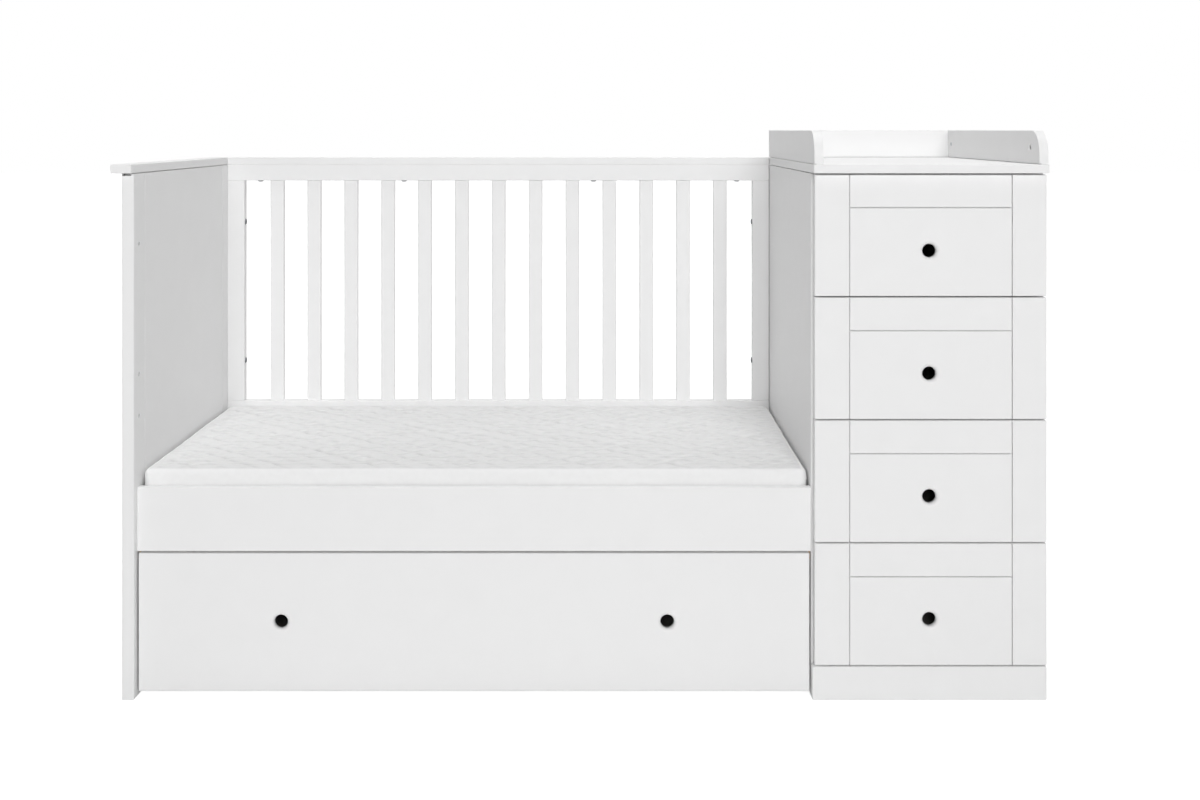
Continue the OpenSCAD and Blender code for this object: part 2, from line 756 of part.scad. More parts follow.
// Screws up through the top rail into the rear cap
module cap_screws() {
  color(steel) for (x = cap_screw_x)
    translate([x, y_frame_mid, frame_h + screw_bite]) rotate([180, 0, 0]) screw(cap_screw_l);
}

// Covers of the fittings in the inner faces of the tray's rim
module tray_fittings() {
  color(steel) {
    translate([x_bed1 + rim_inset + rim_t, rim_fit_y, rim_fit_z]) rotate([0, 90, 0])
      cylinder(h = rim_fit_t, d = rim_fit_d);
    translate([x_right - rim_inset - rim_t, rim_fit_y, rim_fit_z]) rotate([0, -90, 0])
      cylinder(h = rim_fit_t, d = rim_fit_d);
  }
}

end_panel();
end_cap();
rear_cap();
rear_top_rail();
rear_board();
rear_stile(x_bed0);  // rear_left_stile
rear_stile(x_bed1 - stile_w);  // rear_right_stile
rear_bars();
front_board();
base_beam(y_base0);  // base_front_beam
base_beam(y_frame - beam_w);  // base_rear_beam
base_slats();
mattress();
chest_left_side();
chest_right_side();
chest_back();
chest_bottom();
chest_plinth();
chest_top();
chest_left_runners();
chest_right_runners();
tray_left_rim();
tray_right_rim();
tray_back_rim();
wide_drawer_front();
wide_drawer_side(x_under_box);  // wide_drawer_left_side
wide_drawer_side(x_under_box + under_box_w - under_box_t);  // wide_drawer_right_side
wide_drawer_back();
wide_drawer_bottom();
stile_screws();
cap_screws();
tray_fittings();
for (k = [0 : len(CASTORS) - 1]) {
  castor_bracket(k);
  castor_wheel(k);
}
for (i = [1 : drawer_n]) {
  drawer_front(i);
  drawer_sides(i);
  drawer_back(i);
  drawer_bottom(i);
  drawer_runners(i);
}
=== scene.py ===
import math

import bpy
import numpy as np
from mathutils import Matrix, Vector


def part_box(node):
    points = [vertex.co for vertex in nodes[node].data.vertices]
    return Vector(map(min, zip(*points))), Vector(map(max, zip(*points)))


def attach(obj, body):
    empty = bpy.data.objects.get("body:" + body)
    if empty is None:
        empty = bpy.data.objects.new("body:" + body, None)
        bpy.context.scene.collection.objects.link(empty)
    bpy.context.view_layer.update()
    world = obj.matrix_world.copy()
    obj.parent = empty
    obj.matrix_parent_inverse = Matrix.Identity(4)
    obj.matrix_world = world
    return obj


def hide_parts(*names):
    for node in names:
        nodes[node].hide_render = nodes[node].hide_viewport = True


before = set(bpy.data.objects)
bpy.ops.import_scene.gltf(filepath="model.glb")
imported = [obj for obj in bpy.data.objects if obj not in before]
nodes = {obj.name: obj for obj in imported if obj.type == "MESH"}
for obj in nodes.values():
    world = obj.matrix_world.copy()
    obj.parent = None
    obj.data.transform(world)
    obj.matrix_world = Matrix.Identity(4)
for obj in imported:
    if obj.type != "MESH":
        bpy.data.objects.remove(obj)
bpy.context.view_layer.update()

# The photograph's viewpoint. A level camera stands a little right of the middle, 2.5 m in front of the
# bed and 1.02 m above the floor, and its lens is shifted down, so that upright edges stay upright.
camera_data = bpy.data.cameras.new("camera")
camera_data.sensor_width = 36.0
camera_data.lens = 42.6
camera_data.shift_x = 0.00125
camera_data.shift_y = -0.225
camera_data.clip_end = 100.0
camera = bpy.data.objects.new("camera", camera_data)
camera.location = (0.0329, -2.8545, 1.017)
camera.rotation_euler = (math.radians(90), 0, 0)
bpy.context.scene.collection.objects.link(camera)
bpy.context.scene.camera = camera
bpy.context.scene.view_settings.view_transform = "Standard"


# The studio: a matt white floor that runs on to a white background, as in a catalogue picture. One wide lamp
# stands far in front and one hangs above. Soft light fills in from all round, most of it from behind.
def paint(hex_value):
    """The sRGB hex colour as linear RGBA."""
    srgb = np.array([int(hex_value[i:i + 2], 16) for i in (1, 3, 5)]) / 255
    linear = np.where(srgb <= 0.04045, srgb / 12.92, ((srgb + 0.055) / 1.055) ** 2.4)
    return (*linear.tolist(), 1.0)


def add_node(tree, kind, inputs={}, **settings):
    """Adds a node with its settings. Each input is set to a value, or linked to another node's output."""
    node = tree.nodes.new(kind)
    for name, value in settings.items():
        setattr(node, name, value)
    for name, value in inputs.items():
        if isinstance(value, bpy.types.NodeSocket):
            tree.links.new(value, node.inputs[name])
        else:
            node.inputs[name].default_value = value
    return node


def new_material(name):
    """An empty material of this name, and its node tree."""
    material = bpy.data.materials.new(name)
    material.use_nodes = True
    material.node_tree.nodes.clear()
    return material, material.node_tree


def seen_directly(tree):
    """1 for rays that come from the camera, from a reflection or through glass, and 0 for all others."""
    rays = add_node(tree, "ShaderNodeLightPath")
    either = add_node(tree, "ShaderNodeMath", {0: rays.outputs["Is Camera Ray"],
                      1: rays.outputs["Is Glossy Ray"]}, operation="MAXIMUM")
    return add_node(tree, "ShaderNodeMath", {0: either.outputs[0],
                    1: rays.outputs["Is Transmission Ray"]}, operation="MAXIMUM").outputs[0]


world = bpy.data.worlds.new("white studio")
bpy.context.scene.world = world
world.use_nodes = True
sky = world.node_tree
sky.nodes.clear()
# The soft light grows with Y of the direction that it comes from: -1 in front of the object, 1 behind it.
fill_from, fill_to = 0.1, 0.8
fill_front, fill_behind = 0.14, 0.72
way_out = add_node(sky, "ShaderNodeSeparateXYZ",
                   {"Vector": add_node(sky, "ShaderNodeTexCoord").outputs["Generated"]})
fill_light = add_node(sky, "ShaderNodeMapRange",
                      {"Value": way_out.outputs["Y"], "From Min": fill_from, "From Max": fill_to,
                       "To Min": fill_front, "To Max": fill_behind})
soft_light = add_node(sky, "ShaderNodeBackground",
                      {"Color": (1, 1, 1, 1), "Strength": fill_light.outputs["Result"]})
white_wall = add_node(sky, "ShaderNodeBackground", {"Color": (1, 1, 1, 1), "Strength": 1.0})
wall_or_light = add_node(sky, "ShaderNodeMixShader",
                         {0: seen_directly(sky), 1: soft_light.outputs[0], 2: white_wall.outputs[0]})
add_node(sky, "ShaderNodeOutputWorld", {"Surface": wall_or_light.outputs[0]})

# The floor shows a little brighter than it is lit, more so far away, where it runs into the background.
floor_half = 30.0
lift_from, lift_to = 1.5, 6.0
near_lift, far_lift = 0.62, 1.0
floor_mesh = bpy.data.meshes.new("studio_floor")
floor_mesh.from_pydata([(-floor_half, -floor_half, 0), (floor_half, -floor_half, 0),
                        (floor_half, floor_half, 0), (-floor_half, floor_half, 0)], [], [(0, 1, 2, 3)])
floor = bpy.data.objects.new("studio_floor", floor_mesh)
bpy.context.scene.collection.objects.link(floor)
floor_white, tree = new_material("matt white floor")
floor_diffuse = add_node(tree, "ShaderNodeBsdfDiffuse", {"Color": paint("#F4F4F4"), "Roughness": 0.5})
floor_glow = add_node(tree, "ShaderNodeEmission", {"Color": (1, 1, 1, 1)})
floor_place = add_node(tree, "ShaderNodeTexCoord").outputs["Object"]
from_object = add_node(tree, "ShaderNodeVectorMath", {0: floor_place}, operation="LENGTH")
towards_wall = add_node(tree, "ShaderNodeMapRange",
                        {"Value": from_object.outputs["Value"], "From Min": lift_from,
                         "From Max": lift_to, "To Min": near_lift, "To Max": far_lift})
floor_lift = add_node(tree, "ShaderNodeMath", {0: seen_directly(tree), 1: towards_wall.outputs["Result"]},
                      operation="MULTIPLY")
tree.links.new(floor_lift.outputs[0], floor_glow.inputs["Strength"])
floor_sum = add_node(tree, "ShaderNodeAddShader", {0: floor_diffuse.outputs[0], 1: floor_glow.outputs[0]})
add_node(tree, "ShaderNodeOutputMaterial", {"Surface": floor_sum.outputs[0]})
floor_mesh.materials.append(floor_white)


def soft_lamp(name, place, aim, size, watts):
    """A rectangular area lamp that looks from its place at the point it is aimed at."""
    data = bpy.data.lights.new(name, "AREA")
    data.shape = "RECTANGLE"
    data.size, data.size_y = size
    data.energy = watts
    lamp = bpy.data.objects.new(name, data)
    way = np.array(aim) - np.array(place)
    lamp.rotation_euler = (math.atan2(math.hypot(way[0], way[1]), -way[2]), 0,
                           math.atan2(way[1], way[0]) - math.pi / 2)
    lamp.location = place
    bpy.context.scene.collection.objects.link(lamp)
    return lamp


soft_lamp("front_lamp", (1.0, -15.0, 5.0), (0, 0, 0.5), (7.0, 4.0), 1230)
soft_lamp("top_lamp", (0.3, 0.2, 5.0), (0, 0, 0), (4.0, 3.0), 104)


# The boards that show: the end panel, the caps, the rear frame with its bars, the front board, the chest
# and its tray, and all drawer fronts. They are fibreboard, sprayed with a white satin lacquer and joined
# with hidden dowels and the screws further down. The lacquer gives soft reflections and a fine ripple.
def lacquer_finish(name, colour):
    """White satin lacquer: nearly even in colour, with a fine orange peel and slightly uneven gloss."""
    material, tree = new_material(name)
    place = add_node(tree, "ShaderNodeTexCoord").outputs["Object"]
    ripple_mm, sheen_mm, ripple_height = 3.0, 45.0, 0.00006
    least_rough, most_rough = 0.46, 0.54
    ripple = add_node(tree, "ShaderNodeTexNoise",
                      {"Vector": place, "Scale": 1000 / ripple_mm, "Detail": 2.0, "Roughness": 0.45})
    clouds = add_node(tree, "ShaderNodeTexNoise",
                      {"Vector": place, "Scale": 1000 / sheen_mm, "Detail": 1.0, "Roughness": 0.4})
    tint = add_node(tree, "ShaderNodeMix", {"Factor": clouds.outputs["Fac"], "A": paint(colour[0]),
                    "B": paint(colour[1])}, data_type="RGBA")
    gloss = add_node(tree, "ShaderNodeMapRange", {"Value": clouds.outputs["Fac"],
                     "To Min": least_rough, "To Max": most_rough})
    skin = add_node(tree, "ShaderNodeBump", {"Height": ripple.outputs["Fac"], "Strength": 0.35,
                    "Distance": ripple_height})
    shader = add_node(tree, "ShaderNodeBsdfPrincipled",
                      {"Base Color": tint.outputs["Result"], "Roughness": gloss.outputs["Result"],
                       "IOR": 1.5, "Normal": skin.outputs["Normal"]})
    add_node(tree, "ShaderNodeOutputMaterial", {"Surface": shader.outputs[0]})
    return material


def dress(material, *names):
    """Gives these CAD nodes the material."""
    for name in names:
        mesh = nodes[name].data
        mesh.materials.clear()
        mesh.materials.append(material)


lacquer = lacquer_finish("white satin lacquer", ("#F1F1F1", "#EFEFEF"))
dress(lacquer, "end_panel", "end_cap", "rear_cap", "rear_top_rail", "rear_board",
      "rear_left_stile", "rear_right_stile", "rear_bars", "front_board",
      "chest_left_side", "chest_right_side", "chest_plinth", "chest_top",
      "tray_left_rim", "tray_right_rim", "tray_back_rim", "wide_drawer_front",
      *[f"drawer_{i}_front" for i in range(1, 5)])


# The bed base: two long beams and the slats that lie across them, of planed pine with no finish. Growth
# rings show as long bands with the grain, and the late wood is darker and a little smoother.
def pine_finish(name, grain):
    """Planed pine whose grain runs along this axis, 0 for X or 1 for Y."""
    material, tree = new_material(name)
    place = add_node(tree, "ShaderNodeTexCoord").outputs["Object"]
    ring_mm, fibre_mm, fibre_height = 4.5, 0.9, 0.0001
    along_grain, rings_per_cloud, ring_turns = 0.07, 8, 60.0
    stretch = [1.0, 1.0, 1.0]
    stretch[grain] = along_grain
    along = add_node(tree, "ShaderNodeMapping", {"Vector": place, "Scale": stretch})
    rings = add_node(tree, "ShaderNodeTexNoise",
                     {"Vector": along.outputs[0], "Scale": 1000 / (rings_per_cloud * ring_mm),
                      "Detail": 2.0, "Distortion": 0.6})
    bands = add_node(tree, "ShaderNodeMath", {0: rings.outputs["Fac"], 1: ring_turns},
                     operation="MULTIPLY")
    wave = add_node(tree, "ShaderNodeMath", {0: bands.outputs[0]}, operation="SINE")
    late = add_node(tree, "ShaderNodeMapRange", {"Value": wave.outputs[0], "From Min": -1.0,
                    "From Max": 1.0, "To Min": 0.0, "To Max": 1.0})
    fibre = add_node(tree, "ShaderNodeTexNoise", {"Vector": along.outputs[0], "Scale": 1000 / fibre_mm,
                     "Detail": 3.0})
    wood = add_node(tree, "ShaderNodeMix", {"Factor": late.outputs[0], "A": paint("#E8D1A6"),
                    "B": paint("#CFA56C")}, data_type="RGBA")
    streak = add_node(tree, "ShaderNodeMix", {"Factor": 0.25, "A": wood.outputs["Result"],
                      "B": fibre.outputs["Color"]}, data_type="RGBA", blend_type="SOFT_LIGHT")
    rough = add_node(tree, "ShaderNodeMapRange", {"Value": late.outputs[0], "To Min": 0.62, "To Max": 0.48})
    bump = add_node(tree, "ShaderNodeBump", {"Height": fibre.outputs["Fac"], "Strength": 0.4,
                    "Distance": fibre_height})
    shader = add_node(tree, "ShaderNodeBsdfPrincipled",
                      {"Base Color": streak.outputs["Result"], "Roughness": rough.outputs["Result"],
                       "IOR": 1.5, "Normal": bump.outputs["Normal"]})
    add_node(tree, "ShaderNodeOutputMaterial", {"Surface": shader.outputs[0]})
    return material


dress(pine_finish("planed pine, grain along the bed", 0), "base_front_beam", "base_rear_beam")
dress(pine_finish("planed pine, grain across the bed", 1), "base_slats")


# The mattress: a foam core in a quilted cover of white polyester jersey. The top is quilted in wavy lines
# that make rows of small lens-shaped puffs, and the side band is plain.
mattress_low, mattress_high = (np.array(corner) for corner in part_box("mattress"))
mattress_middle = (mattress_low + mattress_high) / 2
half_length, half_width = (mattress_high - mattress_low)[:2] / 2
rim_height = 0.112
corner_radius, edge_radius = 0.016, 0.008
crown, draw_in = 0.002, 0.001


def new_piece(name, points, faces):
    """A mesh object at the origin from an array of points and a list of faces."""
    mesh = bpy.data.meshes.new(name)
    mesh.from_pydata(points.tolist(), [], faces)
    mesh.update()
    piece = bpy.data.objects.new(name, mesh)
    bpy.context.scene.collection.objects.link(piece)
    return piece


def box_grid(count_x, count_y, count_z, fine_bottom):
    """Points, quads and grid steps of the shell of a box from -1 to 1, as one grid on each face, with no
    bottom unless it is to be fine. Faces share the points on their edges, which have equal steps."""
    ix, iy, iz = np.arange(count_x + 1), np.arange(count_y + 1), np.arange(count_z + 1)
    sheets = []
    for k in (0, count_z) if fine_bottom else (count_z,):
        gx, gy = np.meshgrid(ix, iy, indexing="ij")
        sheets.append((np.stack([gx, gy, np.full_like(gx, k)], -1), k == 0))
    for j in (0, count_y):
        gx, gz = np.meshgrid(ix, iz, indexing="ij")
        sheets.append((np.stack([gx, np.full_like(gx, j), gz], -1), j == count_y))
    for i in (0, count_x):
        gy, gz = np.meshgrid(iy, iz, indexing="ij")
        sheets.append((np.stack([np.full_like(gy, i), gy, gz], -1), i == 0))
    keys, quads = [], []
    for sheet, turned in sheets:
        key = (sheet[..., 0] * (count_y + 1) + sheet[..., 1]) * (count_z + 1) + sheet[..., 2]
        quad = np.stack([key[:-1, :-1], key[1:, :-1], key[1:, 1:], key[:-1, 1:]], -1).reshape(-1, 4)
        quads.append(quad[:, ::-1] if turned else quad)
        keys.append(key.ravel())
    used = np.unique(np.concatenate(keys))
    quads = np.searchsorted(used, np.concatenate(quads))
    steps = np.stack([used // ((count_y + 1) * (count_z + 1)), used // (count_z + 1) % (count_y + 1),
                      used % (count_z + 1)], -1)
    return steps / np.array([count_x, count_y, count_z]) * 2 - 1, quads, steps


def mattress_form(unit, length, width, height):
    """A unit box's points as the plump mattress. In plan the corner squares become quarter discs; then
    each point near an edge slides inwards and down a quarter round, the sides draw in between the
    corners, and the top crowns towards the middle."""
    x, y, z = unit[:, 0] * length, unit[:, 1] * width, unit[:, 2] * height / 2
    inner = np.stack([np.clip(x, corner_radius - length, length - corner_radius),
                      np.clip(y, corner_radius - width, width - corner_radius)], -1)
    out = (np.stack([x, y], -1) - inner) / corner_radius
    out = out * np.sqrt(1 - out[:, ::-1] ** 2 / 2)
    far = np.linalg.norm(out, axis=1)
    way = out / np.maximum(far, 1e-9)[:, None]
    p = np.clip(1 - corner_radius * (1 - far) / edge_radius, 0, 1)
    q = np.clip(1 - (height / 2 - np.abs(z)) / edge_radius, 0, 1)
    slide = edge_radius * (p - p * np.sqrt(1 - q ** 2 / 2))
    sink = edge_radius * (q - q * np.sqrt(1 - p ** 2 / 2))
    plan = inner + out * corner_radius - way * slide[:, None]
    z = z - np.sign(z) * sink
    bow_x = np.cos(np.clip(plan[:, 1] / width, -1, 1) * math.pi / 2) * draw_in
    bow_y = np.cos(np.clip(plan[:, 0] / length, -1, 1) * math.pi / 2) * draw_in
    plan = plan - np.stack([bow_x * plan[:, 0] / length, bow_y * plan[:, 1] / width], -1)
    rise = crown * (1 - (plan[:, 0] / length) ** 4) * (1 - (plan[:, 1] / width) ** 2)
    z = z + np.where(unit[:, 2] > 0, rise * np.clip(unit[:, 2], 0, 1), 0)
    return np.stack([plan[:, 0], plan[:, 1], z + height / 2], -1)


def apply_modifiers(piece):
    """Keeps what the piece's modifiers make of its mesh, and drops the modifiers."""
    made = bpy.data.meshes.new_from_object(piece.evaluated_get(bpy.context.evaluated_depsgraph_get()))
    piece.modifiers.clear()
    old, piece.data = piece.data, made
    bpy.data.meshes.remove(old)


def points_of(mesh):
    """The mesh's points as an array."""
    flat = np.empty(len(mesh.vertices) * 3)
    mesh.vertices.foreach_get("co", flat)
    return flat.reshape(-1, 3)


mattress_foot = np.array([mattress_middle[0], mattress_middle[1], mattress_low[2]])

# The foam core's own swelling: a coarse cover is blown up as cloth, and kept within 1 mm sideways and 2 mm
# upwards of where it was. The plump ends fill most of the air between the foam and the panels.
plump_end, plump_side = 0.003, 0.0008
least_swell, most_swell = (-0.001, -0.001, -0.0002), (0.001, 0.001, 0.002)
last_step = 20
core_grid = (110, 55, 10)
core_unit, core_quads, _ = box_grid(*core_grid, fine_bottom=True)
core_shape = mattress_form(core_unit, half_length + plump_end, half_width + plump_side, rim_height)
core = new_piece("mattress_core", core_shape, core_quads.tolist())
cloth = core.modifiers.new("cover", "CLOTH")
cloth.settings.quality = 5
cloth.settings.mass = 0.3
cloth.settings.tension_stiffness = 12
cloth.settings.compression_stiffness = 12
cloth.settings.bending_stiffness = 0.6
cloth.settings.use_pressure = True
cloth.settings.uniform_pressure_force = 4
cloth.settings.effector_weights.gravity = 0
cloth.point_cache.frame_start, cloth.point_cache.frame_end = 1, last_step
for step in range(1, last_step + 1):
    bpy.context.scene.frame_set(step)
apply_modifiers(core)
bpy.context.scene.frame_set(1)
swell = np.clip(points_of(core.data) - core_shape, least_swell, most_swell)
core.data.vertices.foreach_set("co", (core_shape + swell + mattress_foot).ravel())
core.data.update()
smooth_core = core.modifiers.new("smooth", "SUBSURF")
smooth_core.levels = smooth_core.render_levels = 1
apply_modifiers(core)

# The cover itself, fine enough for the quilting. It lies on the core, with a plain flat underside.
cover_grid = (256, 270, 22)
cover_unit, cover_quads, cover_steps = box_grid(*cover_grid, fine_bottom=False)
cover_shape = mattress_form(cover_unit, half_length + plump_end, half_width + plump_side, rim_height)
rim = cover_steps[:, 2] == 0
rim_at = cover_shape[rim]
turn = np.argsort(-np.arctan2(rim_at[:, 1] / half_width, rim_at[:, 0] / half_length))
underside = np.flatnonzero(rim)[turn]
mattress = new_piece("mattress_quilted", cover_shape + mattress_foot,
                     cover_quads.tolist() + [underside.tolist()])
wrap = mattress.modifiers.new("wrap", "SHRINKWRAP")
wrap.target = core
wrap.wrap_method = "NEAREST_SURFACEPOINT"
apply_modifiers(mattress)
bpy.data.objects.remove(core)


def ripples(x, y, size, count, seed):
    """Smooth unevenness between about -1 and 1: a sum of waves of nearly one length, in all directions."""
    draw = np.random.default_rng(seed)
    angles, phases = draw.uniform(0, 2 * math.pi, (2, count))
    reach = 2 * math.pi / (size * draw.uniform(0.7, 1.5, count))
    waves = np.sin(x[:, None] * reach * np.cos(angles) + y[:, None] * reach * np.sin(angles) + phases)
    return waves.sum(1) / math.sqrt(count)


# The quilting: neighbouring rows of stitches swing against each other by a quarter of their pitch, and the
# cloth is drawn down along them. It fades out a little before the plain side band.
row_pitch, wave_length, wave_reach = 0.0261, 0.056, 0.0066
# The second width is that of the painted shade along each stitch line.
stitch_width, crease_shade_width, puff_height = 0.0030, 0.0026, 0.0064
sine_share, zigzag_share = 0.75, 0.25
quilt_margin, quilt_fade = 0.009, 0.018
# Sewing and filling are never quite even. Each kind of unevenness has its reach and the size of its waves.
drift_reach, drift_size = 0.0012, 0.11
puff_change, puff_size = 0.15, 0.035
sag_reach, sag_size = 0.0003, 0.16
dimple_reach, dimple_size, dimple_squeeze = 0.0005, 0.03, 1.6
cover_at = points_of(mattress.data)
across, along = cover_at[:, 0], cover_at[:, 1] - mattress_low[1] - row_pitch / 2
drift = drift_reach * ripples(across, along, drift_size, 9, 5)
row = np.floor(along / row_pitch)
nearest = np.full(len(cover_at), 1.0)
for line in range(-1, 3):
    number = row + line
    swing = np.sin(2 * math.pi * across / wave_length + math.pi * number)
    zigzag = np.arcsin(swing) * 2 / math.pi
    stitched = number * row_pitch + wave_reach * (sine_share * swing + zigzag_share * zigzag)
    nearest = np.minimum(nearest, np.abs(along + drift - stitched))
puff = (1 - np.exp(-(nearest / stitch_width) ** 2)) * (
    1 + puff_change * ripples(across, along, puff_size, 9, 7))
up = np.clip((cover_at[:, 2] - mattress_foot[2] - rim_height + edge_radius) / edge_radius, 0, 1)
band = 1 - up
from_side = ((half_length, half_width) - np.abs(cover_at[:, :2] - mattress_middle[:2])).min(1)
inside = up * np.clip((from_side - quilt_margin) / quilt_fade, 0, 1)
lift = puff_height * (puff - 1) * inside + sag_reach * up * ripples(across, along, sag_size, 9, 11)
dimple = dimple_reach * band * ripples(across + along, cover_at[:, 2] * dimple_squeeze, dimple_size, 9, 13)
normals = np.empty(len(cover_at) * 3)
mattress.data.vertices.foreach_get("normal", normals)
cover_at = cover_at + normals.reshape(-1, 3) * (lift + dimple)[:, None]
cover_at[:, 2] = np.maximum(cover_at[:, 2], mattress_foot[2])
mattress.data.vertices.foreach_set("co", cover_at.ravel())
# A mask for painted shade along the stitched creases, strongest on the stitch lines.
stitch_shade = mattress.data.attributes.new("stitch_shade", "FLOAT", "POINT")
stitch_shade.data.foreach_set("value", np.exp(-(nearest / crease_shade_width) ** 2) * inside)
mattress.data.polygons.foreach_set("use_smooth", np.ones(len(mattress.data.polygons), bool))
mattress.data.update()

# The cover's cloth is soft and fuzzy. Its colour holds painted shade along the stitches, where the cloth is
# drawn into creases, and on the quilted top, which is painted darker than the plain band (7 to 10 mm in over
# the edge) as painted shade for how the light falls on the top and on the band.
cover_cloth, tree = new_material("white polyester jersey")
place = add_node(tree, "ShaderNodeTexCoord").outputs["Object"]
# A jersey's loops are about 0.8 mm wide. They are drawn 1.6 mm wide, so that they show at this distance.
loop_mm, fuzz_mm, loop_height = 1.6, 9.0, 0.0003
band_ends, quilt_starts = -0.007, -0.010
courses = add_node(tree, "ShaderNodeTexVoronoi", {"Vector": place, "Scale": 1000 / loop_mm})
fuzz = add_node(tree, "ShaderNodeTexNoise", {"Vector": place, "Scale": 1000 / fuzz_mm, "Detail": 4.0})
from_middle = add_node(tree, "ShaderNodeVectorMath", {0: place, 1: tuple(mattress_middle)},
                       operation="SUBTRACT")
each_way = add_node(tree, "ShaderNodeVectorMath", {0: from_middle.outputs[0]}, operation="ABSOLUTE")
past_side = add_node(tree, "ShaderNodeVectorMath", {0: each_way.outputs[0], 1: (half_length, half_width, 0)},
                     operation="SUBTRACT")
past_side = add_node(tree, "ShaderNodeSeparateXYZ", {"Vector": past_side.outputs[0]})
to_side = add_node(tree, "ShaderNodeMath", {0: past_side.outputs["X"], 1: past_side.outputs["Y"]},
                   operation="MAXIMUM")
quilted = add_node(tree, "ShaderNodeMapRange", {"Value": to_side.outputs[0], "From Min": band_ends,
                   "From Max": quilt_starts})
# Painted shade and light: the quilted top is painted darker and the plain band lighter, for how the light
# falls on each.
band_lit_top_shaded = add_node(tree, "ShaderNodeMix", {"Factor": quilted.outputs[0], "A": paint("#F7F7F7"),
                  "B": paint("#EBEBEB")}, data_type="RGBA")
# Painted shade: the cloth is darkened towards #C4C4C4 along the stitched creases.
stitch_shade_node = add_node(tree, "ShaderNodeAttribute", attribute_name="stitch_shade")
stitch_shaded = add_node(tree, "ShaderNodeMix", {"Factor": stitch_shade_node.outputs["Fac"], "A": band_lit_top_shaded.outputs["Result"],
                "B": paint("#C4C4C4")}, data_type="RGBA")
tint = add_node(tree, "ShaderNodeMix", {"Factor": fuzz.outputs["Fac"], "A": stitch_shaded.outputs["Result"],
                "B": paint("#F8F8F8")}, data_type="RGBA", blend_type="MULTIPLY")
knit = add_node(tree, "ShaderNodeBump", {"Height": courses.outputs["Distance"], "Strength": 0.5,
                "Distance": loop_height})
shader = add_node(tree, "ShaderNodeBsdfPrincipled",
                  {"Base Color": tint.outputs["Result"], "Roughness": 0.85, "IOR": 1.45,
                   "Sheen Weight": 0.15, "Sheen Roughness": 0.5, "Normal": knit.outputs["Normal"]})
add_node(tree, "ShaderNodeOutputMaterial", {"Surface": shader.outputs[0]})
mattress.data.materials.append(cover_cloth)
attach(mattress, "bed_and_chest")
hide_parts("mattress")


# The chest's bottom and the drawer boxes: chipboard faced with white melamine, glued and dowelled. The
# facing is pressed from an embossed plate, so it is matt with a fine pebble.
def melamine_finish(name, colour, pebble_mm, rough):
    """A pressed white facing: even in colour, matt, with a pebble of this size."""
    material, tree = new_material(name)
    place = add_node(tree, "ShaderNodeTexCoord").outputs["Object"]
    pebble = add_node(tree, "ShaderNodeTexVoronoi", {"Vector": place, "Scale": 1000 / pebble_mm},
                      feature="SMOOTH_F1")
    clouds_per_metre, pebble_height = 120.0, 0.00012
    clouds = add_node(tree, "ShaderNodeTexNoise", {"Vector": place, "Scale": clouds_per_metre,
                      "Detail": 4.0})
    tint = add_node(tree, "ShaderNodeMix", {"Factor": clouds.outputs["Fac"], "A": paint(colour[0]),
                    "B": paint(colour[1])}, data_type="RGBA")
    bump = add_node(tree, "ShaderNodeBump", {"Height": pebble.outputs["Distance"], "Strength": 0.5,
                    "Distance": pebble_height})
    shader = add_node(tree, "ShaderNodeBsdfPrincipled",
                      {"Base Color": tint.outputs["Result"], "Roughness": rough, "IOR": 1.5,
                       "Normal": bump.outputs["Normal"]})
    add_node(tree, "ShaderNodeOutputMaterial", {"Surface": shader.outputs[0]})
    return material


melamine = melamine_finish("white melamine facing", ("#EAEAE8", "#E4E4E2"), 1.4, 0.5)
dress(melamine, "chest_bottom", "wide_drawer_left_side", "wide_drawer_right_side", "wide_drawer_back",
      *[f"drawer_{i}_{part}" for i in range(1, 5) for part in ("sides", "back")])

# The chest's back panel and the drawer bottoms: thin white-faced hardboard that slides into grooves.
hardboard = melamine_finish("white-faced hardboard", ("#E6E6E4", "#DEDEDB"), 2.2, 0.6)
dress(hardboard, "chest_back", "wide_drawer_bottom", *[f"drawer_{i}_bottom" for i in range(1, 5)])


# Steel parts: the runners' channels and bars, the castor brackets, and the covers of the tray's fittings.
# They are zinc plated, which gives a cool grey metal with a soft, slightly cloudy shine.
zinc, tree = new_material("zinc plated steel")
place = add_node(tree, "ShaderNodeTexCoord").outputs["Object"]
spangle_mm, roll_mm, roll_stretch, roll_height = 6.0, 0.6, 0.03, 0.00003
spangle = add_node(tree, "ShaderNodeTexNoise", {"Vector": place, "Scale": 1000 / spangle_mm, "Detail": 3.0})
rolled = add_node(tree, "ShaderNodeMapping", {"Vector": place, "Scale": (1.0, roll_stretch, 1.0)})
lines = add_node(tree, "ShaderNodeTexNoise", {"Vector": rolled.outputs[0], "Scale": 1000 / roll_mm})
tint = add_node(tree, "ShaderNodeMix", {"Factor": spangle.outputs["Fac"], "A": paint("#C9CCCF"),
                "B": paint("#AEB2B6")}, data_type="RGBA")
rough = add_node(tree, "ShaderNodeMapRange", {"Value": spangle.outputs["Fac"], "To Min": 0.28,
                 "To Max": 0.48})
bump = add_node(tree, "ShaderNodeBump", {"Height": lines.outputs["Fac"], "Strength": 0.3,
                "Distance": roll_height})
shader = add_node(tree, "ShaderNodeBsdfPrincipled",
                  {"Base Color": tint.outputs["Result"], "Metallic": 1.0,
                   "Roughness": rough.outputs["Result"], "Normal": bump.outputs["Normal"]})
add_node(tree, "ShaderNodeOutputMaterial", {"Surface": shader.outputs[0]})
corners = ("front_left", "front_right", "rear_left", "rear_right")
dress(zinc, "chest_left_runners", "chest_right_runners",
      *[f"drawer_{i}_runners" for i in range(1, 5)], *[f"castor_bracket_{corner}" for corner in corners])

